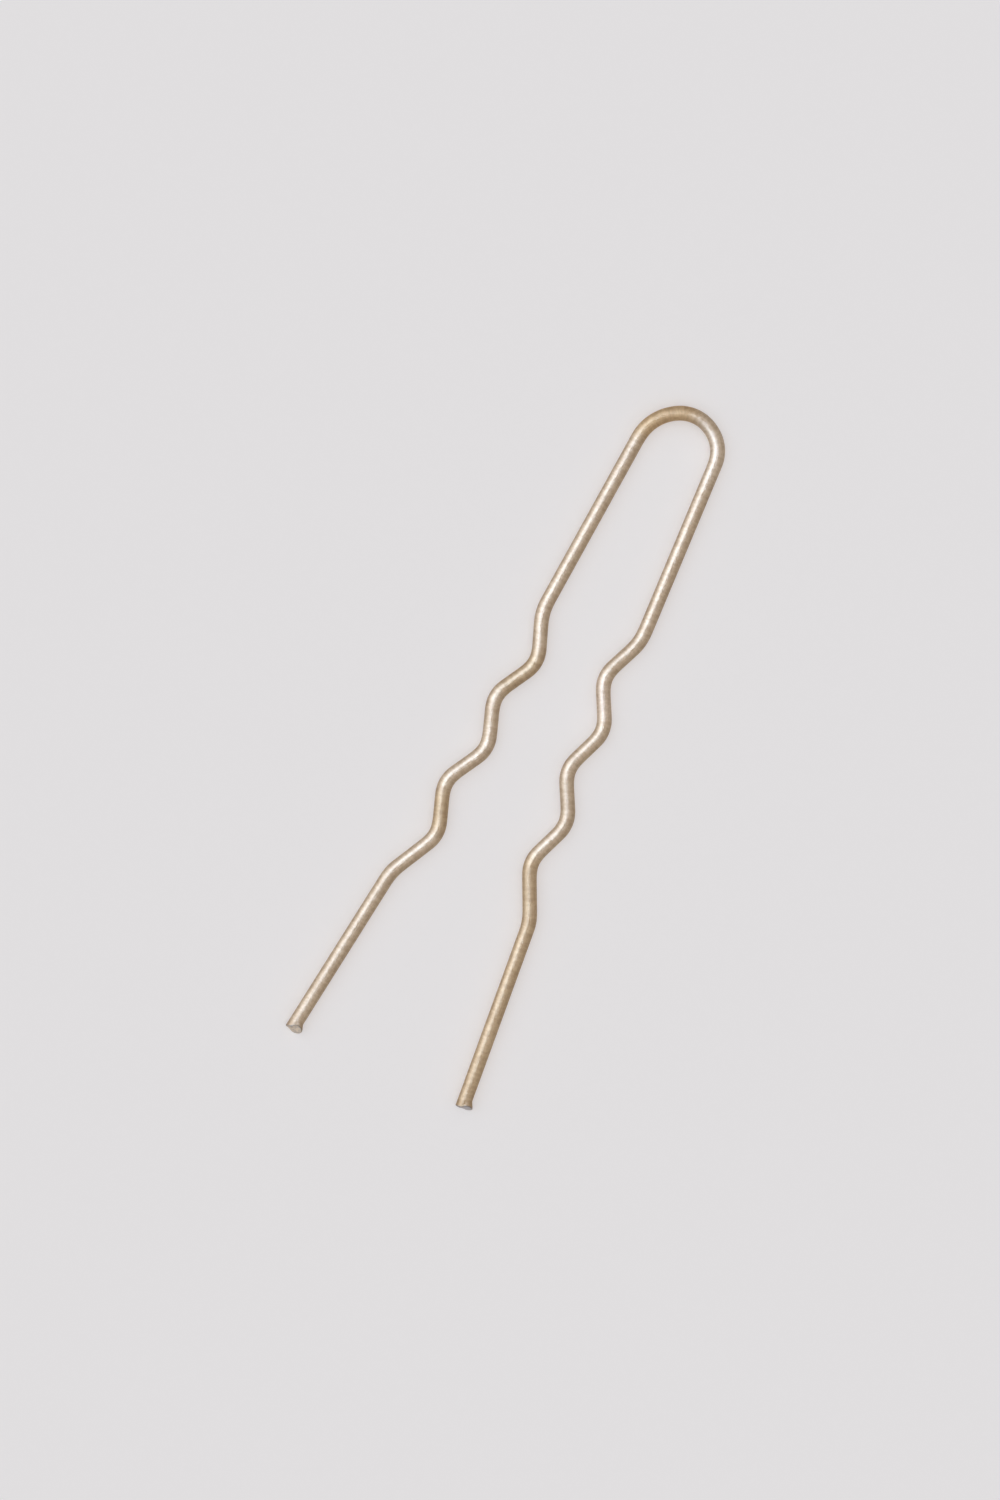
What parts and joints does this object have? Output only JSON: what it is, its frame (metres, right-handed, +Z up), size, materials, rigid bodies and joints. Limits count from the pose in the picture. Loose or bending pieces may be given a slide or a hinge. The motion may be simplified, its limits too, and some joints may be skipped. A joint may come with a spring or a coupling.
{
  "type": "french hair pin",
  "caption": "U-shaped hair pin bent from one length of round wire, with crimped prongs that flare apart towards their blunt tips.",
  "frame": {"origin": "under the middle of the pin's bounding box, on the surface that the pin lies on", "axes": "+Y along the pin towards its crown, +X across the prongs, +Z up from the surface that the pin lies on"},
  "size_m": [0.0208, 0.0757, 0.0015],
  "materials": {
    "wire_metal": "satin champagne-gold plate, with faint lines along the wire and faint bands across it"
  },
  "bodies": {
    "root": {"pin_wire": "wire_metal"}
  },
  "joints": []
}
